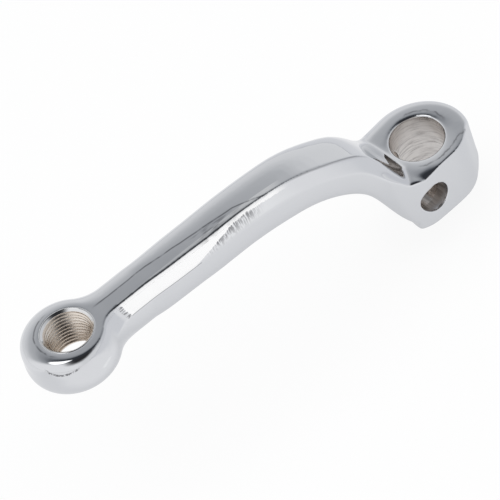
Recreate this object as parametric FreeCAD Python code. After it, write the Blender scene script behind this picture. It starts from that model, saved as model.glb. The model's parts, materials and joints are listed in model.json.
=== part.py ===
import FreeCAD, Part
import math
import os

# Driving sizes in millimetres and degrees
crank_length = 120.0      # axle axis to pedal axis
eye_offset = 29.0         # pedal face above the outer face of the boss
axle_dia = 16.0           # bore for the pedal axle
cotter_dia = 9.5          # hole for the cotter pin
cotter_skew = 4.4         # turn of the cotter flat from the line of the arm
thread_minor_dia = 13.1   # pedal hole at the crests of its thread
thread_entry_dia = 15.5   # countersink at both ends of the pedal hole
boss_thick = 19.6
boss_radius = 15.5
flat_distance = 13.2      # cotter flat from the axle axis
eye_radius = 13.75        # pedal eye at its parting line
arm_thick = 14.4          # arm and eye, along the axle direction
arm_near = 5.6            # near top edge from the middle plane at mid arm
arm_far = 8.2             # far parting line from the middle plane at mid arm
near_lean = 1.0           # parting line outside the near top edge
ridge_drop = 5.8          # parting line below the top of arm and eye
lower_round = 1.5         # inset of the arm's lower corners
boss_corner = 2.5         # corners of the boss beside the arm
rim_chamfer = 0.5         # broken edge of the axle bore
boss_round_top = 4.0      # depth of the round at the outer face of the boss
boss_round_low = 5.0      # depth of the round at its inner face
neck_radius = 14.0        # fillets from arm to eye at the parting line

# The frame has its origin on the axle axis, midway through the boss
boss_top = boss_thick / 2.0
boss_bottom = -boss_top
eye_top = boss_top + eye_offset
arm_bottom = eye_top - arm_thick
ridge_level = eye_top - ridge_drop
neck_start = crank_length - 1.75 * eye_radius
bend_start = 0.53 * crank_length
bend_middle = 0.17 * crank_length
arm_start = 0.50 * boss_radius
boss_edge = 0.85 * boss_radius
horn_near = flat_distance + 2.2
horn_far = flat_distance + 0.8
eye_near = eye_radius - 0.5
eye_tip = eye_radius + 0.45
eye_far = -eye_radius - 0.5
skew = math.radians(cotter_skew)
Vec = FreeCAD.Vector
flat_out = Vec(-math.sin(skew), math.cos(skew), 0)
flat_along = Vec(math.cos(skew), math.sin(skew), 0)

# Height share and inset share at three levels of a quarter round
quarter = ((0.0, 0.0), (0.75, 0.25), (1.0, 1.0))


def blend(a, b, t):
    return a + (b - a) * t


def guide(points, x):
    """Smooth curve through a few stations, without overshoot."""
    slopes = [(q[1] - p[1]) / (q[0] - p[0]) for p, q in zip(points, points[1:])]

    def tangent(k):
        if k == 0 or k == len(slopes):
            return slopes[min(k, len(slopes) - 1)]
        a, b = slopes[k - 1], slopes[k]
        return 0.0 if a * b <= 0 else 2.0 * a * b / (a + b)

    i = 0
    while i < len(slopes) - 1 and x > points[i + 1][0]:
        i += 1
    h = points[i + 1][0] - points[i][0]
    t = (x - points[i][0]) / h
    left = (1 + 2 * t) * points[i][1] + t * h * tangent(i)
    right = (3 - 2 * t) * points[i + 1][1] - (1 - t) * h * tangent(i + 1)
    return (1 - t) ** 2 * left + t ** 2 * right


def arc_through(a, b, c, spans=1):
    """Arc through three points as a light cubic curve, for the lofts."""
    arc = Part.Arc(a, b, c).toShape()
    step = (arc.LastParameter - arc.FirstParameter) / spans
    handle = arc.Curve.Radius * 4.0 / 3.0 * math.tan(step / 4.0)
    poles = [a]
    for k in range(spans):
        start = arc.FirstParameter + k * step
        poles.append(arc.valueAt(start) + arc.tangentAt(start) * handle)
        poles.append(arc.valueAt(start + step) - arc.tangentAt(start + step) * handle)
    poles.append(c)
    knots = list(range(spans + 1))
    counts = [4] + [2] * (spans - 1) + [4]
    curve = Part.BSplineCurve()
    curve.buildFromPolesMultsKnots(poles, counts, knots, False, 3)
    return curve.toShape()


def quarter_curve(start, corner_point, end):
    curve = Part.BezierCurve()
    curve.setPoles([start, corner_point, end])
    return curve.toBSpline().toShape()


def middle(centre, a, b, radius):
    """Point half way along the shorter arc from a to b."""
    d = (a - centre) + (b - centre)
    return centre + d.normalize() * radius


# Long guides of the arm from the boss out to the neck
def arm_top_z(x):
    points = [
        (0.45 * boss_radius, boss_top - 0.030 * eye_offset),
        (0.62 * boss_radius, boss_top + 0.008 * eye_offset),
        (0.76 * boss_radius, boss_top + 0.075 * eye_offset),
        (0.92 * boss_radius, boss_top + 0.205 * eye_offset),
        (bend_middle, boss_top + 0.53 * eye_offset),
        (0.25 * crank_length, boss_top + 0.755 * eye_offset),
        (0.38 * crank_length, boss_top + 0.945 * eye_offset),
        (bend_start, eye_top),
        (crank_length, eye_top),
    ]
    return guide(points, x)


def arm_bottom_z(x):
    fall = arm_bottom - boss_bottom
    points = [
        (arm_start, boss_bottom + 0.03 * fall),
        (boss_edge, boss_bottom + 0.06 * fall),
        (bend_middle, boss_bottom + 0.44 * fall),
        (0.21 * crank_length, boss_bottom + 0.67 * fall),
        (0.27 * crank_length, boss_bottom + 0.83 * fall),
        (0.36 * crank_length, boss_bottom + 0.945 * fall),
        (bend_start, arm_bottom),
        (crank_length, arm_bottom),
    ]
    return guide(points, x)


def ridge_z(x):
    """Parting line of the arm; it rises to the boss face at the root."""
    share = blend(ridge_drop / arm_thick, 0.2, min(1.0, root(x)))
    return blend(arm_top_z(x), arm_bottom_z(x), share)


def root(x):
    """Share of the flare from the slim arm out to the boss."""
    points = [
        (arm_start, 1.35),
        (boss_edge, 1.0),
        (0.140 * crank_length, 0.56),
        (0.165 * crank_length, 0.27),
        (0.20 * crank_length, 0.12),
        (0.26 * crank_length, 0.05),
        (0.42 * crank_length, 0.0),
        (crank_length, 0.0),
    ]
    return guide(points, x)


def slim(x):
    """Taper of the arm towards the neck."""
    points = [
        (0.0, 0.0),
        (bend_start, 0.0),
        (0.72 * crank_length, 0.5),
        (neck_start, 1.0),
        (crank_length, 1.0),
    ]
    return guide(points, x)


def stout(x):
    """Swelling of the arm in the bend."""
    points = [
        (0.0, 1.0),
        (0.25 * crank_length, 1.0),
        (bend_start, 0.0),
        (crank_length, 0.0),
    ]
    return guide(points, x)


def near_top_y(x):
    return arm_near - slim(x) + 0.75 * stout(x)


def near_ridge_y(x):
    return blend(near_top_y(x) + near_lean, flat_distance + 0.6, root(x))


def far_top_y(x):
    return 0.27 * arm_near - 2.0 * slim(x) - 0.8 * stout(x)


def far_ridge_y(x):
    return blend(-arm_far + 0.6 * slim(x) - 0.8 * stout(x), -flat_distance - 0.3, root(x))


# Pedal eye and neck
def neck_fillet(start, out, radius, centre, eye_r):
    """Concave arc from a straight side of the arm to the round of the eye."""
    w = start + out * radius - centre
    t = -w.x - math.sqrt(w.x * w.x - w.dot(w) + (eye_r + radius) ** 2)
    on_side = start + Vec(t, 0, 0)
    k = on_side + out * radius
    on_eye = centre + (k - centre) * (eye_r / (eye_r + radius))
    return on_side, middle(k, on_side, on_eye, radius), on_eye


def eye_outline(z, near, tip, far, side_near, side_far, fillet_near, fillet_far):
    """Plan outline of eye and neck at one height, cut square at the neck."""
    r = (near - far) / 2.0
    c = Vec(crank_length + tip - r, (near + far) / 2.0, z)
    a = Vec(neck_start, side_near, z)
    b = Vec(neck_start, side_far, z)
    n1, nm, n2 = neck_fillet(a, Vec(0, 1, 0), fillet_near, c, r)
    f1, fm, f2 = neck_fillet(b, Vec(0, -1, 0), fillet_far, c, r)
    edges = [
        Part.makeLine(a, n1),
        arc_through(n1, nm, n2),
        arc_through(n2, c + Vec(r, 0, 0), f2, 4),
        arc_through(f2, fm, f1),
        Part.makeLine(f1, b),
        Part.makeLine(b, a),
    ]
    return Part.Wire(edges)


def eye_upper(u, s):
    return eye_outline(
        blend(ridge_level, eye_top, u),
        eye_near - 2.5 * u * u,
        eye_tip - 4.75 * s,
        eye_far + 5.6 * s,
        blend(near_ridge_y(neck_start), near_top_y(neck_start), u),
        blend(far_ridge_y(neck_start), far_top_y(neck_start), s),
        neck_radius - 7.5 * u,
        neck_radius - 5.0 * u,
    )


def eye_lower(u, s):
    return eye_outline(
        blend(ridge_level, arm_bottom, u),
        eye_near - 4.5 * s,
        eye_tip - 3.95 * s,
        eye_far + 4.5 * s,
        near_ridge_y(neck_start) - lower_round * s,
        far_ridge_y(neck_start) + lower_round * s,
        neck_radius + 12.0 * s,
        neck_radius + 6.0 * s,
    )


def make_eye():
    upper = Part.makeLoft([eye_upper(u, s) for u, s in quarter], True, False)
    lower = Part.makeLoft([eye_lower(u, s) for u, s in quarter], True, False)
    return upper, lower


# Forged arm
def arm_section(x):
    """Crisp near top edge, leaning near side, round far shoulder, soft lower corners."""
    top, ridge, low = arm_top_z(x), ridge_z(x), arm_bottom_z(x)
    near, far = near_ridge_y(x), far_ridge_y(x)
    near_top = Vec(x, near_top_y(x), top)
    near_mid = Vec(x, near, ridge)
    near_low = Vec(x, near - lower_round, low)
    far_low = Vec(x, far + lower_round, low)
    far_mid = Vec(x, far, ridge)
    far_top = Vec(x, far_top_y(x), top)
    edges = [
        Part.makeLine(near_top, near_mid),
        quarter_curve(near_mid, Vec(x, near, low), near_low),
        Part.makeLine(near_low, far_low),
        quarter_curve(far_low, Vec(x, far, low), far_mid),
        quarter_curve(far_mid, Vec(x, far, top), far_top),
        Part.makeLine(far_top, near_top),
    ]
    return Part.Wire(edges)


def end_edges(half, level):
    """Near, far and outer edge of one half of the eye's square end."""
    found = []
    for edge in half.Edges:
        box = edge.BoundBox
        if box.XMax > neck_start + 0.01 or (box.ZLength < 0.01 and abs(box.ZMin - level) > 0.01):
            continue
        found.append(edge)
    land = min(found, key=lambda e: e.BoundBox.ZLength)
    sides = [e for e in found if not e.isSame(land)]
    far, near = sorted(sides, key=lambda e: e.CenterOfMass.y)
    return near, far, land


def make_arm(upper, lower):
    last = neck_start - 2.0
    count = 13
    stations = [blend(arm_start, last, (k / count) ** 1.3) for k in range(count + 1)]
    sections = [arm_section(x) for x in stations]
    near_up, far_up, top = end_edges(upper, eye_top)
    near_low, far_low, low = end_edges(lower, arm_bottom)
    sections.append(Part.Wire([near_up, near_low, low, far_low, far_up, top]))
    return Part.makeLoft(sections, True, False)


# Cottered boss
def corner(point, way_in, way_out, radius):
    """Rounded corner between two straight sides, as start, middle and end."""
    half = math.acos(max(-1.0, min(1.0, (way_in * -1.0).dot(way_out)))) / 2.0
    cut = radius / math.tan(half)
    start = point - way_in * cut
    end = point + way_out * cut
    centre = point + (way_out - way_in).normalize() * (radius / math.sin(half))
    return start, middle(centre, start, end, radius), end


def tangent_point(point, centre, r, side):
    """Where a straight line from the point touches the round."""
    d = point - centre
    turn = math.atan2(d.y, d.x) + side * math.acos(r / d.Length)
    return centre + Vec(math.cos(turn), math.sin(turn), 0) * r


def boss_outline(z, near, far, c, r):
    """Plan outline of the boss: round at the back, drawn out to the arm on both sides."""
    near_horn = Vec(0.90 * boss_radius, near, z)
    far_horn = Vec(0.83 * boss_radius, -far, z)
    near_touch = tangent_point(near_horn, c, r, 1)
    far_touch = tangent_point(far_horn, c, r, -1)
    front = (far_horn - near_horn).normalize()
    n1, nm, n2 = corner(near_horn, (near_horn - near_touch).normalize(), front, boss_corner)
    f1, fm, f2 = corner(far_horn, (far_horn - far_touch).normalize(), front * -1.0, boss_corner)
    edges = [
        Part.makeLine(n1, near_touch),
        arc_through(near_touch, c - Vec(r, 0, 0), far_touch, 3),
        Part.makeLine(far_touch, f1),
        arc_through(f1, fm, f2),
        Part.makeLine(f2, n2),
        arc_through(n2, nm, n1),
    ]
    return Part.Wire(edges)


def boss_upper(u, s):
    z = boss_top - boss_round_top * (1 - u)
    c = Vec(-0.6 * s, 1.6 * s, z)
    return boss_outline(z, horn_near, horn_far - 4.0 * s, c, boss_radius - 2.2 * s)


def boss_lower(u, s):
    z = boss_bottom + boss_round_low * (1 - u)
    c = Vec(0.5 * s, 0.6 * s, z)
    return boss_outline(z, horn_near - 3.4 * s, horn_far - 2.0 * s, c, boss_radius - 3.4 * s)


def make_boss():
    upper = Part.makeLoft([boss_upper(u, s) for u, s in quarter], True, False)
    lower = Part.makeLoft([boss_lower(u, s) for u, s in quarter], True, False)
    waist = Part.Face(boss_upper(0, 0))
    deep = boss_thick - boss_round_top - boss_round_low
    return upper.fuse([waist.extrude(Vec(0, 0, -deep)), lower])


def flat_cutter():
    """Milled face for the cotter, with soft runs at both ends."""
    base = Vec(0, 0, boss_bottom - 5.0)
    front, back = 0.55 * boss_radius, -0.12 * boss_radius
    front_radius, back_radius = 0.5 * boss_radius, 0.77 * boss_radius
    front_turn, back_turn = math.radians(27.0), math.radians(40.0)

    def at(along, out):
        return base + flat_along * along + flat_out * out

    def run(along, radius, turn):
        return at(along + radius * math.sin(turn), flat_distance - abs(radius) * (1 - math.cos(turn)))

    def beyond(point, way, turn):
        slope = flat_along * (way * math.cos(turn)) - flat_out * math.sin(turn)
        return point + slope * (0.8 * boss_radius)

    start, stop = at(front, flat_distance), at(back, flat_distance)
    front_end = run(front, front_radius, front_turn)
    back_end = run(back, -back_radius, back_turn)
    front_out = beyond(front_end, 1, front_turn)
    back_out = beyond(back_end, -1, back_turn)
    clear = flat_out * (2.0 * boss_radius)
    edges = [
        Part.makeLine(start, stop),
        arc_through(stop, run(back, -back_radius, back_turn / 2), back_end),
        Part.makeLine(back_end, back_out),
        Part.makeLine(back_out, back_out + clear),
        Part.makeLine(back_out + clear, front_out + clear),
        Part.makeLine(front_out + clear, front_out),
        Part.makeLine(front_out, front_end),
        arc_through(front_end, run(front, front_radius, front_turn / 2), start),
    ]
    return Part.Face(Part.Wire(edges)).extrude(Vec(0, 0, boss_thick + eye_offset + 10.0))


# Holes
def drill(dia, centre, axis, length):
    return Part.makeCylinder(dia / 2.0, length, centre - axis * (length / 2.0), axis)


def countersink(dia, hole, face, up):
    """Cone that opens a hole to the given diameter at a face."""
    deep = (dia - hole) / 2.0
    axis = Vec(0, 0, up)
    return Part.makeCone(hole / 2.0, hole / 2.0 + 2.0 * deep, 2.0 * deep, face - axis * deep, axis)


def axle_bore():
    rim = axle_dia + 2.0 * rim_chamfer
    bore = drill(axle_dia, Vec(0, 0, 0), Vec(0, 0, 1), 4.0 * boss_thick)
    top = countersink(rim, axle_dia, Vec(0, 0, boss_top), 1)
    low = countersink(rim, axle_dia, Vec(0, 0, boss_bottom), -1)
    return bore.fuse([top, low])


def cotter_hole():
    """The pin lies across the bore with its axis on the axle's circle."""
    return drill(cotter_dia, flat_along * (axle_dia / 2.0), flat_out, 6.0 * boss_radius)


def pedal_hole():
    hole = drill(thread_minor_dia, Vec(crank_length, 0, eye_top), Vec(0, 0, 1), 4.0 * arm_thick)
    top = countersink(thread_entry_dia, thread_minor_dia, Vec(crank_length, 0, eye_top), 1)
    low = countersink(thread_entry_dia, thread_minor_dia, Vec(crank_length, 0, arm_bottom), -1)
    return hole.fuse([top, low])


def make_crank():
    upper, lower = make_eye()
    body = make_arm(upper, lower).fuse([upper, lower])
    body = body.fuse(make_boss()).cut(flat_cutter()).removeSplitter()
    return body.cut([axle_bore(), cotter_hole(), pedal_hole()])


if __name__ == "__main__":
    os.makedirs("parts", exist_ok=True)
    make_crank().exportStep("parts/crank_arm.step")
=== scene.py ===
import json
import math
import bmesh
import bpy
from mathutils import Euler, Matrix, Vector
from mathutils.kdtree import KDTree


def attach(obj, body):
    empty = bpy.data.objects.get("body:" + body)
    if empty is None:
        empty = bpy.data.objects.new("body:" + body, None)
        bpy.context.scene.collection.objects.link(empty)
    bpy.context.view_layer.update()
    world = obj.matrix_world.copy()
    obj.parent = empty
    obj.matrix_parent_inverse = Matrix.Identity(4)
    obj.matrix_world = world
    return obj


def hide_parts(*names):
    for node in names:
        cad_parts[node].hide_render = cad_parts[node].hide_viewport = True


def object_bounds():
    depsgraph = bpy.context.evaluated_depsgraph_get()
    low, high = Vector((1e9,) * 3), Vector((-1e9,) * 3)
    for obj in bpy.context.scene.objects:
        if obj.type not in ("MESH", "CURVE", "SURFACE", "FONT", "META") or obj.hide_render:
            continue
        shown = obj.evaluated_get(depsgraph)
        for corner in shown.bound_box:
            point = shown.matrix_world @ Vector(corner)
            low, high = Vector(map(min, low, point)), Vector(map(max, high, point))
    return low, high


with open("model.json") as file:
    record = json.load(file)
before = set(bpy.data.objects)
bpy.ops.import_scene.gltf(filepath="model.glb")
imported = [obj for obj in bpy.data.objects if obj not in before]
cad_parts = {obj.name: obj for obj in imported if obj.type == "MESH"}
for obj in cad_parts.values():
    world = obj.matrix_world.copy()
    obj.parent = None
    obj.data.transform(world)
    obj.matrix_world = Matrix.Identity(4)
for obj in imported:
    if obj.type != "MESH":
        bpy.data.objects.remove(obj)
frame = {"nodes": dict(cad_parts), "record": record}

scene = bpy.context.scene
cadBox = [list(corner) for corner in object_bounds()]
mounts = {mount["name"]: mount for mount in frame["record"]["mounts"]}
mm = 0.001


class Val:  # a socket that takes part in Python sums
    def __init__(self, tree, socket=None):
        self.tree = tree
        self.socket = socket

    # any node: its settings are made first, then its sockets are filled or linked
    def node(self, kind, settings=None, inputs=None, output=0):
        made = self.tree.nodes.new(kind)
        for key, value in (settings or {}).items():
            if key == "stops":
                fillRamp(made.color_ramp, value)
            else:
                setattr(made, key, value)
        for key, value in (inputs or {}).items():
            if isinstance(value, Val):
                self.tree.links.new(value.socket, made.inputs[key])
            else:
                made.inputs[key].default_value = value
        return Val(self.tree, made.outputs[output] if made.outputs else None)

    def calc(self, operation, *terms):
        return self.node("ShaderNodeMath", {"operation": operation}, dict(enumerate(terms)))

    def out(self, output):  # another output of the same node
        return Val(self.tree, self.socket.node.outputs[output])

    def __add__(self, other):
        return self.calc("ADD", self, other)

    def __sub__(self, other):
        return self.calc("SUBTRACT", self, other)

    def __mul__(self, other):
        return self.calc("MULTIPLY", self, other)

    def __truediv__(self, other):
        return self.calc("DIVIDE", self, other)

    def __pow__(self, other):
        return self.calc("POWER", self, other)

    def __rsub__(self, other):
        return self.calc("SUBTRACT", other, self)

    __radd__ = __add__
    __rmul__ = __mul__

    def below(self, limit):
        return self.calc("LESS_THAN", self, limit)

    def above(self, limit):
        return self.calc("GREATER_THAN", self, limit)

    def least(self, other):
        return self.calc("MINIMUM", self, other)

    def most(self, other):
        return self.calc("MAXIMUM", self, other)

    def step(self, low, high):  # 0 at low, 1 at high, smooth between
        return self.node("ShaderNodeMapRange", {"interpolation_type": "SMOOTHSTEP"},
                         {"Value": self, "From Min": low, "From Max": high})

    def fade(self, first, second):  # colours by this share
        return self.node("ShaderNodeMix", {"data_type": "RGBA"},
                         {0: self, 6: first, 7: second}, output=2)


def fillRamp(ramp, stops):
    while len(ramp.elements) < len(stops):
        ramp.elements.new(1.0)
    for element, (place, colour) in zip(ramp.elements, stops):
        element.position = place
        element.color = colour


def newMaterial(name):
    material = bpy.data.materials.new(name)
    material.use_nodes = True
    material.node_tree.nodes.clear()
    return material, Val(material.node_tree)


def finishMaterial(net, shader):
    net.node("ShaderNodeOutputMaterial", None, {"Surface": shader})


def objectPlace(net):
    place = net.node("ShaderNodeTexCoord", None, None, "Object")
    apart = net.node("ShaderNodeSeparateXYZ", None, {0: place})
    return place, apart.out("X"), apart.out("Y"), apart.out("Z")


def grain(net, place, scale, detail, turn=(0.0, 0.0, 0.0)):  # noise
    if isinstance(scale, tuple):  # drawn out along one way
        place = net.node("ShaderNodeMapping", None,
                         {"Vector": place, "Scale": scale, "Rotation": turn})
        scale = 1.0
    return net.node("ShaderNodeTexNoise", None,
                    {"Vector": place, "Scale": scale, "Detail": detail})


def bounded(value, low, high, soft):  # 1 between low and high
    return value.step(low - soft, low + soft) * (1 - value.step(high - soft, high + soft))


def fineLine(net, off, width):  # 1 on the line, and little is left a width away from it
    share = off / width
    return net.calc("EXPONENT", share * share * -1.0)


def distance(a, b):
    return (a * a + b * b) ** 0.5


facetSheenLook = {  # stretch of the near side that is painted white: a painted reflection of the bright floor
    "colour": (1.0, 1.0, 1.0, 1.0),
    "roughness": 0.12,
    "arm": (40.0 * mm, 110.0 * mm),
    "side": (3.6 * mm, 3.9 * mm),
    "start": (45.0 * mm, 51.0 * mm),    # it comes in softly in the bend
    "end": 103.0 * mm,                  # and stops short before the eye
    "endLevel": 33.5 * mm,
    "endLean": 0.34,
    "endRagged": 1.4 * mm,
    "endSoft": 0.1 * mm,
    "low": 33.1 * mm,                   # the parting line is its lower edge
    "climbFrom": 80.0 * mm,             # until that edge climbs towards the bend
    "climb": 0.27,
    "climbMost": 4.1 * mm,
    "dipFrom": 60.0 * mm,
    "dip": 0.12,
    "ragged": 0.5,
    "edgeSoft": (0.05 * mm, 0.12 * mm),
    "hatch": (57.0 * mm, 74.0 * mm),    # painted dark reflection streaks under the climbing edge
    "hatchSoft": 3.0 * mm,
    "hatchDepth": 0.6 * mm,
    "hatchCut": (0.40, 0.58),
    "cloudCut": (0.26, 0.50),
    "tail": (0.1 * mm, 1.5 * mm),       # and past the end
    "tailSoft": 0.2 * mm,
    "tailCut": (0.45, 0.6),
    "lineFrom": 78.0 * mm,              # the parting line shows from here to the end
    "lineDepth": 0.2 * mm,
    "lineSoft": 0.08 * mm,
    "lineShare": 0.8,
    "strokeShare": 0.8,
    "strokeRough": 0.15,
    "strokeDepth": 0.006 * mm,
    "strokeGrain": {"scale": (1900.0, 300.0, 330.0), "detail": 3.0, "turn": (0.0, 0.14, 0.0)},
    "endGrain": {"scale": (500.0, 200.0, 2100.0), "detail": 2.0, "turn": (0.0, 0.5, 0.0)},
    "cloudGrain": {"scale": 420.0, "detail": 1.0},
}


def facetSheenAndStreaks(net, place, x, y, z):  # the painted white reflection, and the dark streaks (painted dark reflections) and line beside it
    look = facetSheenLook
    darkStreaks = grain(net, place, **look["strokeGrain"])
    ends = grain(net, place, **look["endGrain"])
    cloud = grain(net, place, **look["cloudGrain"])
    side = y.step(*look["side"]) * x.above(look["arm"][0]) * x.below(look["arm"][1])
    climb = ((look["climbFrom"] - x).most(0.0) * look["climb"]).least(look["climbMost"])
    rise = climb - (look["dipFrom"] - x).most(0.0) * look["dip"]
    edge = look["low"] + rise + (darkStreaks - 0.5) * rise * look["ragged"]
    above = z.step(edge - look["edgeSoft"][0], edge + look["edgeSoft"][1])
    endAt = look["end"] + (z - look["endLevel"]) * look["endLean"]
    pastEnd = x - endAt + (ends - 0.5) * look["endRagged"]
    before = 1 - pastEnd.step(-look["endSoft"], look["endSoft"])
    # painted reflection: the white stretch of the near facet
    white = side * above * before * x.step(*look["start"])
    under = z.step(look["low"] - look["hatchDepth"], edge) * (1 - above)
    # painted dark reflections: streaks under the climbing edge
    hatch = side * under * bounded(x, *look["hatch"], look["hatchSoft"])
    hatch = hatch * darkStreaks.step(*look["hatchCut"]) * cloud.step(*look["cloudCut"])
    tail = side * bounded(pastEnd, *look["tail"], look["tailSoft"])
    tail = tail * ends.step(*look["tailCut"]) * z.above(look["low"])
    line = bounded(z, look["low"] - look["lineDepth"], look["low"], look["lineSoft"])
    line = side * before * x.above(look["lineFrom"]) * line
    return white, hatch.most(tail).most(line * look["lineShare"])


markLook = {  # broken row of small marks on the side of the eye
    "turn": 0.80,
    "span": (0.42, 1.12),
    "spanSoft": 0.08,
    "height": 35.55 * mm,
    "bow": 7.5 * mm,                    # the row rises to both ends
    "ragged": 1.0 * mm,
    "width": 0.30 * mm,
    "soft": 0.10 * mm,
    "cut": (0.36, 0.50),
    "share": 0.9,
    "depth": 0.035 * mm,
    "grain": {"scale": 1700.0, "detail": 2.0},
}


def eyeMarks(net, place, x, y, z):
    look = markLook
    eyeX = mounts["pedal_thread"]["pos_m"][0]
    turn = net.calc("ARCTAN2", y, x - eyeX)
    away = turn - look["turn"]
    speck = grain(net, place, **look["grain"])
    off = z - look["height"] - away * away * look["bow"] + (speck - 0.5) * look["ragged"]
    row = bounded(off, -look["width"], look["width"], look["soft"])
    row = row * bounded(turn, *look["span"], look["spanSoft"]) * x.above(eyeX)
    return row * speck.step(*look["cut"])


creaseLineLook = {  # polished crease at the far side of the flat top: a small step in the bump, with a painted dark reflection line along it
    "step": 0.030 * mm,
    "width": 0.22 * mm,
    "share": 0.75,
    "top": 37.6 * mm,                   # the flat top lies above this
    "arm": (53.0 * mm, 109.0 * mm),
    "armSoft": 2.0 * mm,
    "beside": -0.5 * mm,                # its place beside the middle of the arm
    "turns": ((92.0 * mm, 0.10), (62.0 * mm, 0.24)),    # where it swings out, and how fast
    "armWander": 0.6 * mm,
    "eyeRadius": 9.4 * mm,              # it goes on round the eye
    "eyeSpan": (-1.4, 0.5),
    "eyeSoft": 0.2,
    "eyeWander": 0.8 * mm,
    "wornCut": (0.28, 0.55),
    "smudge": (61.0 * mm, 76.0 * mm),   # painted dark reflection patch beside it, in the bend
    "smudgeSoft": 4.0 * mm,
    "smudgeEdge": 0.8 * mm,
    "smudgeCut": (0.40, 0.70),
    "smudgeShare": 0.5,
    "wanderGrain": {"scale": 160.0, "detail": 2.0},
    "wornGrain": {"scale": 420.0, "detail": 2.0},
    "rubGrain": {"scale": (260.0, 1300.0, 260.0), "detail": 3.0, "turn": (0.0, 0.0, 0.2)},
}


def creaseStepAndLine(net, place, x, y, z):  # height of the step, its painted dark reflection line and the painted dark patch
    look = creaseLineLook
    wander = grain(net, place, **look["wanderGrain"]) - 0.5
    patchy = grain(net, place, **look["wornGrain"])
    streakNoise = grain(net, place, **look["rubGrain"])
    offArm = y - look["beside"] + wander * look["armWander"]
    for start, slope in look["turns"]:
        offArm = offArm - (start - x).most(0.0) * slope
    dx = x - mounts["pedal_thread"]["pos_m"][0]
    offEye = distance(dx, y) - look["eyeRadius"] + wander * look["eyeWander"]
    turn = net.calc("ARCTAN2", y, dx)
    top = z.above(look["top"])
    onArm = bounded(x, *look["arm"], look["armSoft"]) * top
    onEye = bounded(turn, *look["eyeSpan"], look["eyeSoft"]) * top
    # painted dark reflection line along the arm and round the eye
    line = fineLine(net, offArm, look["width"]) * onArm
    line = line.most(fineLine(net, offEye, look["width"]) * onEye)
    fall = offArm.step(-2.0 * look["width"], 2.0 * look["width"]) * onArm * -look["step"]
    # painted dark reflection patch beside the line
    smudge = bounded(x, *look["smudge"], look["smudgeSoft"]) * top
    smudge = smudge * offArm.step(0.0, look["smudgeEdge"]) * streakNoise.step(*look["smudgeCut"])
    return fall, line * patchy.step(*look["wornCut"]), smudge * look["smudgeShare"]


edgeLook = {  # painted dark reflection: fine line along the near top edge, in the bend
    "width": 0.17 * mm,
    "share": 0.55,
    "arm": (21.0 * mm, 43.5 * mm),
    "armSoft": 3.0 * mm,
    "depth": (0.2 * mm, 0.8 * mm),      # it ends this far below the edge
    "middle": 36.0 * mm,                # the edge rises in a bow through this place
    "half": 16.0 * mm,
    "height": 34.1 * mm,
    "rise": 6.63 * mm,
    "bow": 2.84 * mm,
    "beside": 5.5 * mm,                 # and stands farther out near the boss
    "swell": 0.8 * mm,
    "swellEnd": (32.0 * mm, 60.0 * mm),
}


def paintedEdgeLine(net, x, y, z):
    look = edgeLook
    t = (x - look["middle"]) / look["half"]
    height = t * look["rise"] - t * t * look["bow"] + look["height"]
    off = y - (1 - x.step(*look["swellEnd"])) * look["swell"] - look["beside"]
    onEdge = 1 - (height - z).step(*look["depth"])
    # painted dark reflection of the rounded edge
    return fineLine(net, off, look["width"]) * onEdge * bounded(x, *look["arm"], look["armSoft"])


bossReflectionLook = {  # painted dark reflections: wavy streaks on the outer face of the boss, where its hand polish is wavy
    "width": 0.36 * mm,
    "share": 0.62,
    "cut": (0.28, 0.54),
    "face": 8.6 * mm,
    "end": 9.5 * mm,                    # they end before the arm
    "nearRadius": 11.2 * mm,            # one between the bore and the cotter flat
    "nearSpan": (1.0, 2.5),
    "nearSoft": 0.15,
    "nearTurn": 2.0,                    # past this turn it runs to the outside
    "nearBow": 14.0 * mm,
    "nearWander": 2.4 * mm,
    "farRadius": 10.1 * mm,             # and one round the far side of the bore
    "farWay": (-0.857, -0.516),
    "farSpan": (-0.6, 1.0),
    "farSoft": 0.2,
    "farBow": 1.2 * mm,
    "farWander": 1.8 * mm,
    "wanderGrain": {"scale": 380.0, "detail": 2.0},
    "wornGrain": {"scale": 300.0, "detail": 3.0},
}


def bossReflectionStreaks(net, place, x, y, z):
    look = bossReflectionLook
    wander = grain(net, place, **look["wanderGrain"]) - 0.5
    patchy = grain(net, place, **look["wornGrain"])
    reach = distance(x, y)
    near = net.calc("ARCTAN2", y, x)
    past = (near - look["nearTurn"]).most(0.0)
    offNear = reach - past * past * look["nearBow"]
    offNear = offNear + wander * look["nearWander"] - look["nearRadius"]
    wayX, wayY = look["farWay"]
    far = net.calc("ARCTAN2", y * wayX - x * wayY, x * wayX + y * wayY)
    offFar = reach + far * far * look["farBow"]
    offFar = offFar + wander * look["farWander"] - look["farRadius"]
    nearSpan = bounded(near, *look["nearSpan"], look["nearSoft"])
    farSpan = bounded(far, *look["farSpan"], look["farSoft"])
    # painted dark reflections on the boss face
    bossReflections = fineLine(net, offNear, look["width"]) * nearSpan
    bossReflections = bossReflections.most(fineLine(net, offFar, look["width"]) * farSpan)
    return bossReflections * patchy.step(*look["cut"]) * z.above(look["face"]) * x.below(look["end"])


boreLook = {  # bare turned metal
    "colour": (0.84, 0.805, 0.775, 1.0),
    "markColour": (0.48, 0.455, 0.435, 1.0),
    "markCut": (0.25, 0.6),
    "markHeight": 0.012 * mm,
    "markRough": 0.22,
    "roughness": 0.16,
    "shade": 0.25,                      # a little darker to the outer end
    "shadeOver": (0.0, 9.0 * mm),
    "wallEdge": (0.10 * mm, 0.25 * mm),
    "grain": {"scale": (190.0, 190.0, 1500.0), "detail": 4.0, "turn": (0.06, 0.04, 0.0)},
}


def boreFinish(net, place, x, y, z):
    look = boreLook
    wall = mounts["axle_bore"]["dims"]["r_mm"] * mm
    inside = 1 - distance(x, y).step(wall + look["wallEdge"][0], wall + look["wallEdge"][1])
    marks = grain(net, place, **look["grain"])
    shade = 1 - z.step(*look["shadeOver"]) * look["shade"]
    tone = (marks.step(*look["markCut"]) * shade).fade(look["markColour"], look["colour"])
    return inside, marks, tone


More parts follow.
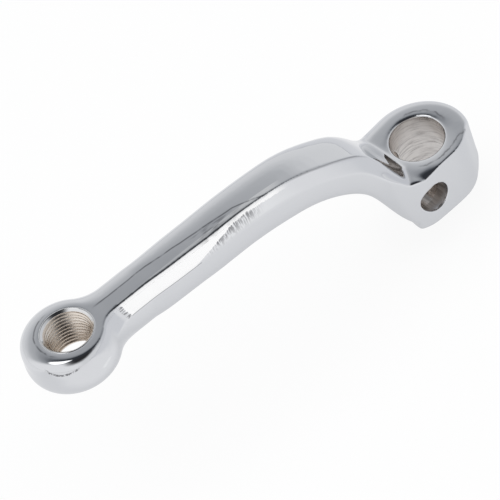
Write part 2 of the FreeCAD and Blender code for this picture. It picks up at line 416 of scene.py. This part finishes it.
cotterLook = {  # drilled metal, bare behind the mouth
    "colour": (0.80, 0.755, 0.72, 1.0),
    "markColour": (0.45, 0.415, 0.39, 1.0),
    "markCut": (0.3, 0.7),
    "markHeight": 0.006 * mm,
    "markRough": 0.2,
    "roughness": 0.12,
    "plate": (0.5 * mm, 2.6 * mm),      # the plate thins out over this depth
    "mouth": (0.6 * mm, 4.0 * mm),
    "mouthSoft": 0.5 * mm,
    "mouthRough": 0.3,
    "wallEdge": (0.05 * mm, 0.2 * mm),
    "grain": {"scale": (900.0, 150.0, 900.0), "detail": 3.0},
}


def acrossCotter(x, y):  # offset to the side of the cotter hole's axis, in plan
    hole = mounts["cotter_hole"]
    wayX, wayY, _ = hole["axis"]
    return (x - hole["pos_m"][0]) * wayY - (y - hole["pos_m"][1]) * wayX


def cotterFinish(net, place, x, y, z, inBore):
    look = cotterLook
    seat = mounts["cotter_seat"]
    wall = mounts["cotter_hole"]["dims"]["r_mm"] * mm
    outX, outY, _ = seat["axis"]
    deep = seat["pos_m"][1] * outY - x * outX - y * outY  # below the cotter flat
    reach = distance(acrossCotter(x, y), z)
    inside = 1 - reach.step(wall + look["wallEdge"][0], wall + look["wallEdge"][1])
    inside = inside * (1 - inBore)
    bare = inside * deep.step(*look["plate"])
    mouth = inside * bounded(deep, *look["mouth"], look["mouthSoft"])
    streakNoise = grain(net, place, **look["grain"])
    tone = streakNoise.step(*look["markCut"]).fade(look["markColour"], look["colour"])
    return bare, mouth, streakNoise, tone


chromeLook = {
    "colour": (0.735, 0.745, 0.765, 1.0),
    # dark colour of the marks, and of the painted dark reflections
    "scratchColour": (0.16, 0.16, 0.17, 1.0),
    "roughness": 0.035,
    "rippleSize": 4.0 * mm,
    "rippleDetail": 1.0,
    "rippleHeight": 0.008 * mm,
    "bossWaves": 3.0,                   # the hand polish of the boss is wavier
    "bossEnd": (12.0 * mm, 24.0 * mm),
    "lineHeight": 0.006 * mm,           # fine lines of the polishing wheel
    "lineGrain": {"scale": (60.0, 800.0, 800.0), "detail": 3.0, "turn": (0.0, 0.25, 0.05)},
}


def chromeMaterial():
    look = chromeLook
    material, net = newMaterial("polished_chrome")
    place, x, y, z = objectPlace(net)
    inBore, marks, boreTone = boreFinish(net, place, x, y, z)
    inCotter, mouth, streakNoise, cotterTone = cotterFinish(net, place, x, y, z, inBore)
    white, darkStreaks = facetSheenAndStreaks(net, place, x, y, z)
    dents = eyeMarks(net, place, x, y, z)
    fall, paintedCreaseLine, smudge = creaseStepAndLine(net, place, x, y, z)
    edge = paintedEdgeLine(net, x, y, z)
    bossReflections = bossReflectionStreaks(net, place, x, y, z)

    colour = inBore.fade(look["colour"], boreTone)
    colour = inCotter.fade(colour, cotterTone)
    # painted reflection: the near facet is painted white
    colour = white.fade(colour, facetSheenLook["colour"])
    # painted dark reflections (facet streaks, crease line and patch, edge line, boss streaks), with
    # the eye marks and the dark parting line
    dark = (darkStreaks * facetSheenLook["strokeShare"]).most(dents * markLook["share"])
    dark = dark.most(paintedCreaseLine * creaseLineLook["share"]).most(smudge)
    dark = dark.most(edge * edgeLook["share"]).most(bossReflections * bossReflectionLook["share"])
    colour = dark.fade(colour, look["scratchColour"])

    rough = look["roughness"] + inBore * (boreLook["roughness"] + marks * boreLook["markRough"])
    rough = rough + inCotter * (cotterLook["roughness"] + streakNoise * cotterLook["markRough"])
    rough = rough + mouth * cotterLook["mouthRough"]
    rough = rough + white * facetSheenLook["roughness"] + darkStreaks * facetSheenLook["strokeRough"]

    ripple = grain(net, place, 1.0 / look["rippleSize"], look["rippleDetail"])
    lines = grain(net, place, **look["lineGrain"])
    waves = 1.0 + (1 - x.step(*look["bossEnd"])) * look["bossWaves"]
    height = ripple * waves * look["rippleHeight"] + lines * look["lineHeight"] + fall
    height = height + inBore * marks * boreLook["markHeight"]
    height = height + inCotter * streakNoise * cotterLook["markHeight"]
    height = height - dents * markLook["depth"] - darkStreaks * facetSheenLook["strokeDepth"]
    normal = net.node("ShaderNodeBump", None, {"Height": height, "Distance": 1.0, "Strength": 1.0})

    shader = net.node("ShaderNodeBsdfPrincipled", None, {
        "Base Color": colour, "Metallic": 1.0, "Roughness": rough, "Normal": normal})
    finishMaterial(net, shader)
    print("chrome:", len(material.node_tree.nodes), "nodes")
    return material


skinLook = {
    "voxel": 0.18 * mm,                 # the edges are rounded on fine faces
    "triangles": 185000,                # and the faces are then thinned where they lie flat
    "gridTurn": (0.52, 0.36, 0.81),     # the voxels lie askew to the faces, so no moire shows
    "mergeGap": 0.002 * mm,
    "smoothing": 14,
    "softening": 87,                    # more rounds of smoothing at the boss and the eye
    "smoothFactor": 0.5,
    "armShare": 0.38,                   # share of those rounds along the arm
    "bossSoft": (13.0 * mm, 24.0 * mm),
    "eyeSoft": (121.0 * mm, 130.0 * mm),
    "flatCrisp": 0.65,                  # the outer edge of the cotter flat stays crisper
    "flatX": (7.0 * mm, 12.0 * mm),
    "flatY": (8.5 * mm, 10.5 * mm),
    "flatZ": (5.0 * mm, 8.0 * mm),
    "boreRim": (0.2 * mm, 1.2 * mm),    # and so do the rims of the two holes
    "cotterRim": (0.3 * mm, 1.5 * mm),
    "normalCount": 4,                   # fine normals that are taken together
    "normalBlur": 0.03 * mm,
    "entryRadius": 7.75 * mm,           # countersink of the pedal hole
    "threadRoom": 0.03 * mm,
}


def ease(low, high, value):
    t = min(1.0, max(0.0, (value - low) / (high - low)))
    return t * t * (3.0 - 2.0 * t)


def softShare(co):  # 1 where the polish has rounded the edges most
    look = skinLook
    share = 1.0 - ease(*look["bossSoft"], co.x) + ease(*look["eyeSoft"], co.x)
    share = look["armShare"] + (1.0 - look["armShare"]) * share
    flatEdge = ease(*look["flatY"], co.y) * ease(*look["flatZ"], co.z)
    flatEdge *= 1.0 - ease(*look["flatX"], co.x)
    share *= 1.0 - look["flatCrisp"] * flatEdge
    rim = math.hypot(co.x, co.y) - mounts["axle_bore"]["dims"]["r_mm"] * mm
    mouth = math.hypot(acrossCotter(co.x, co.y), co.z)
    mouth -= mounts["cotter_hole"]["dims"]["r_mm"] * mm
    return share * ease(*look["boreRim"], rim) * ease(*look["cotterRim"], mouth)


crownLook = {  # polished crown of the outer face of the boss
    "face": 9.8 * mm,
    "over": 0.3 * mm,
    "depth": (2.4 * mm, 0.4 * mm),      # it takes hold between these depths below the face
    "end": 14.0 * mm,
    "armEnd": (8.0 * mm, 11.0 * mm),
    "fall": 0.36 * mm,
    "radius": 10.9 * mm,
    "swing": 2.0 * mm,                  # it lies farther out at the near side
    "width": 3.3 * mm,
    "outerShare": 0.7,
    "offMost": 1.6,
    "cornerFall": 0.28 * mm,            # the corner beside the arm falls too
    "cornerFrom": 10.6 * mm,
    "cornerWidth": 2.4 * mm,
    "cornerStart": (2.0 * mm, 7.0 * mm),
}


def crownBoss(mesh):  # the face falls a little to the bore and to the outside
    look = crownLook
    deep, shallow = look["depth"]
    for vertex in mesh.vertices:
        co = vertex.co
        if co.x < look["end"] and 0.0 < co.z < look["face"] + look["over"]:
            reach = math.hypot(co.x, co.y)
            crest = look["radius"] + look["swing"] * co.y / max(reach, mm)
            off = (reach - crest) / look["width"]
            off = min(look["offMost"], max(-off, look["outerShare"] * off))
            corner = max(0.0, (co.y - look["cornerFrom"]) / look["cornerWidth"])
            fall = look["fall"] * off * off
            fall += look["cornerFall"] * corner * corner * ease(*look["cornerStart"], co.x)
            near = ease(look["face"] - deep, look["face"] - shallow, co.z)
            co.z -= fall * near * (1.0 - ease(*look["armEnd"], co.x))
    mesh.update()


def openThread(mesh):  # room for the thread
    cx, cy, _ = mounts["pedal_thread"]["pos_m"]
    clear = skinLook["entryRadius"] + skinLook["threadRoom"]
    for vertex in mesh.vertices:
        reach = Vector((vertex.co.x - cx, vertex.co.y - cy))
        if reach.length < clear:
            reach = reach.normalized() * clear
            vertex.co.x = cx + reach.x
            vertex.co.y = cy + reach.y


def applyModifiers(piece):
    depsgraph = bpy.context.evaluated_depsgraph_get()
    mesh = bpy.data.meshes.new_from_object(piece.evaluated_get(depsgraph))
    piece.modifiers.clear()
    piece.data = mesh


def evenCopy(source, name):  # the same shape in even faces
    look = skinLook
    mesh = source.data.copy()
    work = bmesh.new()
    work.from_mesh(mesh)
    bmesh.ops.remove_doubles(work, verts=work.verts, dist=look["mergeGap"])
    work.to_mesh(mesh)
    work.free()
    askew = Euler(look["gridTurn"]).to_matrix().to_4x4()
    mesh.transform(askew)
    piece = bpy.data.objects.new(name, mesh)
    scene.collection.objects.link(piece)
    remesh = piece.modifiers.new("even", "REMESH")
    remesh.mode = "VOXEL"
    remesh.voxel_size = look["voxel"]
    remesh.use_smooth_shade = True
    applyModifiers(piece)
    piece.data.transform(askew.inverted())
    settle = piece.modifiers.new("settle", "SHRINKWRAP")  # back onto the faces it came from
    settle.wrap_method = "NEAREST_SURFACEPOINT"
    settle.target = source
    applyModifiers(piece)
    return piece


def takeNormals(mesh, fine):  # the shading of the fine faces
    look = skinLook
    tree = KDTree(len(fine.vertices))
    normals = [vertex.normal.copy() for vertex in fine.vertices]
    for vertex in fine.vertices:
        tree.insert(vertex.co, vertex.index)
    tree.balance()
    taken = []
    for vertex in mesh.vertices:
        total = Vector()
        for _, index, gap in tree.find_n(vertex.co, look["normalCount"]):
            total += normals[index] / (gap + look["normalBlur"])
        taken.append(total.normalized())
    mesh.normals_split_custom_set_from_vertices(taken)


def makeSkin(chrome):
    look = skinLook
    fine = evenCopy(frame["nodes"]["crank_arm"], "crank_fine")
    soft = fine.vertex_groups.new(name="soft")
    for vertex in fine.data.vertices:
        soft.add([vertex.index], softShare(vertex.co), "REPLACE")
    passes = (("polish", look["smoothing"], ""), ("soften", look["softening"], "soft"))
    for name, rounds, group in passes:
        smooth = fine.modifiers.new(name, "SMOOTH")
        smooth.factor = look["smoothFactor"]
        smooth.iterations = rounds
        smooth.vertex_group = group
    applyModifiers(fine)
    crownBoss(fine.data)
    print("fine skin:", len(fine.data.polygons), "faces")
    skin = bpy.data.objects.new("crank_skin", fine.data.copy())
    scene.collection.objects.link(skin)
    thin = skin.modifiers.new("thin", "DECIMATE")
    thin.ratio = look["triangles"] / (2.0 * len(fine.data.polygons))
    applyModifiers(skin)
    skin.data.shade_smooth()
    takeNormals(skin.data, fine.data)
    openThread(skin.data)
    bpy.data.objects.remove(fine)
    skin.vertex_groups.clear()
    skin.data.materials.clear()
    skin.data.materials.append(chrome)
    print("skin:", len(skin.data.polygons), "faces")
    return skin


threadLook = {
    "pitch": 1.27 * mm,
    "depth": 0.52 * mm,
    "flat": 0.12,                       # flats at crest and root, as a share of the flank
    "entryRadius": skinLook["entryRadius"],
    "wall": 0.35 * mm,
    "around": 144,
    "rowsPerTurn": 12,
    "mergeGap": 0.001 * mm,
    "colour": (0.90, 0.83, 0.75, 1.0),
    "markColour": (0.70, 0.62, 0.54, 1.0),
    "markCut": (0.3, 0.7),
    "markRough": 0.22,
    "roughness": 0.08,
    "rimColour": (0.78, 0.785, 0.79, 1.0),
    "rimRough": 0.10,
    "rimEdge": (0.02 * mm, 0.1 * mm),
    "grain": {"scale": (90.0, 90.0, 900.0), "detail": 3.0},
}


def nickelMaterial():
    look = threadLook
    thread = mounts["pedal_thread"]
    material, net = newMaterial("thread_nickel")
    place, x, y, z = objectPlace(net)
    reach = distance(x - thread["pos_m"][0], y - thread["pos_m"][1])
    groove = thread["dims"]["r_mm"] * mm + look["depth"]
    rim = reach.step(groove + look["rimEdge"][0], groove + look["rimEdge"][1])
    marks = grain(net, place, **look["grain"])
    tone = marks.step(*look["markCut"]).fade(look["markColour"], look["colour"])
    colour = rim.fade(tone, look["rimColour"])
    cut = (look["roughness"] + marks * look["markRough"]) * (1 - rim)
    shader = net.node("ShaderNodeBsdfPrincipled", None, {
        "Base Color": colour, "Metallic": 1.0, "Roughness": look["rimRough"] + cut})
    finishMaterial(net, shader)
    print("nickel:", len(material.node_tree.nodes), "nodes")
    return material


def addInput(tree, name, kind, value):
    socket = tree.interface.new_socket(name, in_out="INPUT", socket_type=kind)
    if value is not None:
        socket.default_value = value
    return socket.identifier


def threadTree(rows):  # a grid, rolled up; its last three rows close the outer wall
    look = threadLook
    tree = bpy.data.node_groups.new("pedal_thread", "GeometryNodeTree")
    tree.interface.new_socket("Geometry", in_out="OUTPUT", socket_type="NodeSocketGeometry")
    names = ("Crest", "Depth", "Entry", "Outer", "Pitch", "Length")
    keys = {name: addInput(tree, name, "NodeSocketFloat", mm) for name in names}
    keys["Centre"] = addInput(tree, "Centre", "NodeSocketVector", None)
    keys["Finish"] = addInput(tree, "Finish", "NodeSocketMaterial", None)
    net = Val(tree)
    given = net.node("NodeGroupInput")
    crest, depth, entry, outer, pitch, length = [given.out(name) for name in names]
    grid = net.node("GeometryNodeMeshGrid", None, {
        "Size X": 1.0, "Size Y": 1.0, "Vertices X": look["around"] + 1, "Vertices Y": rows + 4})
    spot = net.node("ShaderNodeSeparateXYZ", None, {0: net.node("GeometryNodeInputPosition")})
    turn = spot.out("X") + 0.5
    row = (spot.out("Y") + 0.5) * (rows + 3.0)
    rise = (row / float(rows)).least(1.0) * length
    wave = net.calc("FRACT", rise / pitch - turn + 40.0) * 2.0 - 1.0  # 40 keeps it above 0
    flank = (net.calc("ABSOLUTE", wave) - look["flat"]).most(0.0) / (1.0 - 2.0 * look["flat"])
    threaded = crest + flank.least(1.0) * depth
    toEnd = rise.least(length - rise)
    inner = threaded.most(entry - toEnd)
    isOuter = row.above(rows + 0.5) * row.below(rows + 2.5)
    isLast = row.above(rows + 2.5)
    isUnder = row.above(rows + 1.5)
    radius = inner * (1 - isOuter) * (1 - isLast) + outer * isOuter + entry * isLast
    height = rise * (1 - isUnder) - length * 0.5
    angle = turn * (2.0 * math.pi)
    ring = net.node("ShaderNodeCombineXYZ", None, {
        0: net.calc("COSINE", angle) * radius, 1: net.calc("SINE", angle) * radius, 2: height})
    placed = net.node("ShaderNodeVectorMath", {"operation": "ADD"},
                      {0: ring, 1: given.out("Centre")})
    shaped = net.node("GeometryNodeSetPosition", None, {"Geometry": grid, "Position": placed})
    joined = net.node("GeometryNodeMergeByDistance", None,
                      {"Geometry": shaped, "Distance": look["mergeGap"]})
    real = net.node("GeometryNodeRealizeInstances", None, {"Geometry": joined})
    dressed = net.node("GeometryNodeSetMaterial", None,
                       {"Geometry": real, "Material": given.out("Finish")})
    net.node("NodeGroupOutput", None, {"Geometry": dressed})
    return tree, keys


def makeThread(nickel):
    look = threadLook
    thread = mounts["pedal_thread"]
    crest = thread["dims"]["r_mm"] * mm
    length = thread["dims"]["length_mm"] * mm + 2.0 * (look["entryRadius"] - crest)
    rows = int(round(length / look["pitch"] * look["rowsPerTurn"]))
    tree, keys = threadTree(rows)
    piece = bpy.data.objects.new("pedal_thread", bpy.data.meshes.new("pedal_thread"))
    scene.collection.objects.link(piece)
    cut = piece.modifiers.new("cut", "NODES")
    cut.node_group = tree
    values = {
        "Crest": crest, "Depth": look["depth"], "Entry": look["entryRadius"],
        "Outer": look["entryRadius"] + look["wall"], "Pitch": look["pitch"],
        "Length": length, "Centre": thread["pos_m"], "Finish": nickel}
    for name, value in values.items():
        cut[keys[name]] = value
    applyModifiers(piece)
    work = bmesh.new()
    work.from_mesh(piece.data)
    bmesh.ops.recalc_face_normals(work, faces=work.faces)
    work.to_mesh(piece.data)
    work.free()
    piece.data.shade_smooth()
    print("thread:", len(piece.data.polygons), "faces")
    return piece


studioLook = {
    "tent": [(0.0, 0.82), (0.26, 0.78), (0.42, 0.69), (0.57, 0.56),     # level by height
             (0.707, 0.48), (0.82, 0.30), (0.89, 0.11), (0.94, 0.04)],
    "tentTint": (1.03, 1.0, 0.95),      # its dim parts lean to blue
    "seenColour": (1.0, 1.0, 1.0, 1.0),
    "parts": [                          # way, spread and colour, each over the last
        ((0.966, 0.259, 0.0), (0.35, 0.65), (0.92, 0.92, 0.93, 1.0)),       # side that stays bright
        ((-0.985, 0.174, 0.0), (0.70, 0.95), (0.68, 0.69, 0.72, 1.0)),      # dimmer side
        ((0.360, -0.130, 0.924), (0.965, 0.982), (1.6, 1.6, 1.6, 1.0)),     # panel high behind
        ((0.112, 0.633, 0.766), (0.78, 0.98), (0.03, 0.03, 0.033, 1.0)),    # dark gap for the camera
    ],
}


def makeWorld():
    look = studioLook
    world = bpy.data.worlds.new("studio")
    world.use_nodes = True
    world.node_tree.nodes.clear()
    scene.world = world
    net = Val(world.node_tree)
    direction = net.node("ShaderNodeTexCoord", None, None, "Generated")
    up = net.node("ShaderNodeSeparateXYZ", None, {0: direction}).out("Z")
    stops = []
    for place, level in look["tent"]:
        red, green, blue = [level ** power for power in look["tentTint"]]
        stops.append((place, (red, green, blue, 1.0)))
    level = net.node("ShaderNodeValToRGB", {"stops": stops}, {"Fac": up})
    for way, spread, colour in look["parts"]:
        facing = net.node("ShaderNodeVectorMath", {"operation": "DOT_PRODUCT"},
                          {0: direction, 1: way}, "Value")
        level = facing.step(*spread).fade(level, colour)
    seen = net.node("ShaderNodeLightPath", None, None, "Is Camera Ray")
    colour = seen.fade(level, look["seenColour"])
    sky = net.node("ShaderNodeBackground", None, {"Color": colour, "Strength": 1.0})
    net.node("ShaderNodeOutputWorld", None, {"Surface": sky})
    print("studio:", len(look["parts"]), "parts in the tent")


floorLook = {
    "drop": 10.0 * mm,
    "size": 6.0,
    "paint": (0.8, 0.8, 0.8, 1.0),
    "seenColour": (1.0, 1.0, 1.0, 1.0),
    "seenShare": 0.90,
    "mirrorShare": 0.7,                 # the rest is as the metal sees it
    "sheetColour": (0.90, 0.90, 0.91, 1.0),
    "underColour": (0.76, 0.765, 0.78, 1.0),    # painted shadow: dimmer below the object
    "underEdge": (0.01, 0.08),
    "bossColour": (0.70, 0.71, 0.74, 1.0),      # painted shade: dimmer past the boss as well
    "bossEdge": (-0.06, -0.005),
    "cardColour": (1.04, 1.04, 1.04, 1.0),      # painted light: a brighter patch on the floor for the painted white facet on the near side
    "cardX": (0.018, 0.080, 0.010),
    "cardY": (0.094, 0.120, 0.008),
}


def floorMaterial():
    look = floorLook
    material, net = newMaterial("floor_white")
    place, x, y, z = objectPlace(net)
    paint = net.node("ShaderNodeBsdfDiffuse", None, {"Color": look["paint"]})
    seen = net.node("ShaderNodeLightPath", None, None, "Is Camera Ray")
    mirrored = seen.out("Is Glossy Ray")
    # painted shadow and shade on the floor, seen only in reflections
    beside = net.calc("ABSOLUTE", y).step(*look["underEdge"])
    sheet = beside.fade(look["underColour"], look["sheetColour"])
    sheet = x.step(*look["bossEdge"]).fade(look["bossColour"], sheet)
    # painted light: a brighter patch on the floor, seen only in reflections
    glowPatch = bounded(x, *look["cardX"]) * bounded(y, *look["cardY"])
    sheet = glowPatch.fade(sheet, look["cardColour"])
    colour = seen.fade(sheet, look["seenColour"])
    glow = net.node("ShaderNodeEmission", None, {"Color": colour, "Strength": 1.0})
    share = seen * look["seenShare"] + mirrored * look["mirrorShare"]
    finishMaterial(net, net.node("ShaderNodeMixShader", None, {0: share, 1: paint, 2: glow}))
    return material


def makeFloor():
    look = floorLook
    low = cadBox[0][2] - look["drop"]
    half = look["size"] / 2.0
    mesh = bpy.data.meshes.new("floor")
    corners = [(-half, -half, low), (half, -half, low), (half, half, low), (-half, half, low)]
    mesh.from_pydata(corners, [], [(0, 1, 2, 3)])
    mesh.materials.append(floorMaterial())
    floor = bpy.data.objects.new("floor", mesh)
    scene.collection.objects.link(floor)
    print("floor at", round(low / mm, 1), "mm")


lampLook = {
    "place": (0.06, 0.0, 1.5),
    "target": (0.06, 0.0, 0.0),
    "size": (2.0, 2.0),
    "watts": 24.0,
}


def makeLamp():
    look = lampLook
    data = bpy.data.lights.new("overhead", "AREA")
    data.shape = "RECTANGLE"
    data.size, data.size_y = look["size"]
    data.energy = look["watts"]
    lamp = bpy.data.objects.new("overhead", data)
    lamp.location = look["place"]
    aim = Vector(look["target"]) - Vector(look["place"])
    lamp.rotation_euler = aim.to_track_quat("-Z", "Y").to_euler()
    lamp.visible_camera = False
    lamp.visible_glossy = False  # the metal sees the tent only
    scene.collection.objects.link(lamp)
    print("lamp:", look["watts"], "watts")


cameraLook = {
    "place": (0.4335, 0.8691, 1.0493),
    "right": (-0.75277, 0.61178, -0.24302),
    "down": (0.60197, 0.49036, -0.63022),
    "lens": 360.0,
    "sensor": 36.0,
    "clipEnd": 50.0,
}


def makeCamera():
    look = cameraLook
    right, up = Vector(look["right"]), -Vector(look["down"])
    back = right.cross(up)
    data = bpy.data.cameras.new("camera")
    data.lens = look["lens"]
    data.sensor_width = look["sensor"]
    data.clip_end = look["clipEnd"]
    camera = bpy.data.objects.new("camera", data)
    turn = Matrix((right, up, back)).transposed().to_4x4()
    camera.matrix_world = Matrix.Translation(look["place"]) @ turn
    scene.collection.objects.link(camera)
    scene.camera = camera
    print("camera:", look["lens"], "mm lens")


scene.view_settings.view_transform = "Standard"
makeCamera()
makeWorld()
makeFloor()
makeLamp()
chrome = chromeMaterial()
skin = makeSkin(chrome)
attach(skin, "root")
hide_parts("crank_arm")
thread = makeThread(nickelMaterial())
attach(thread, "root")
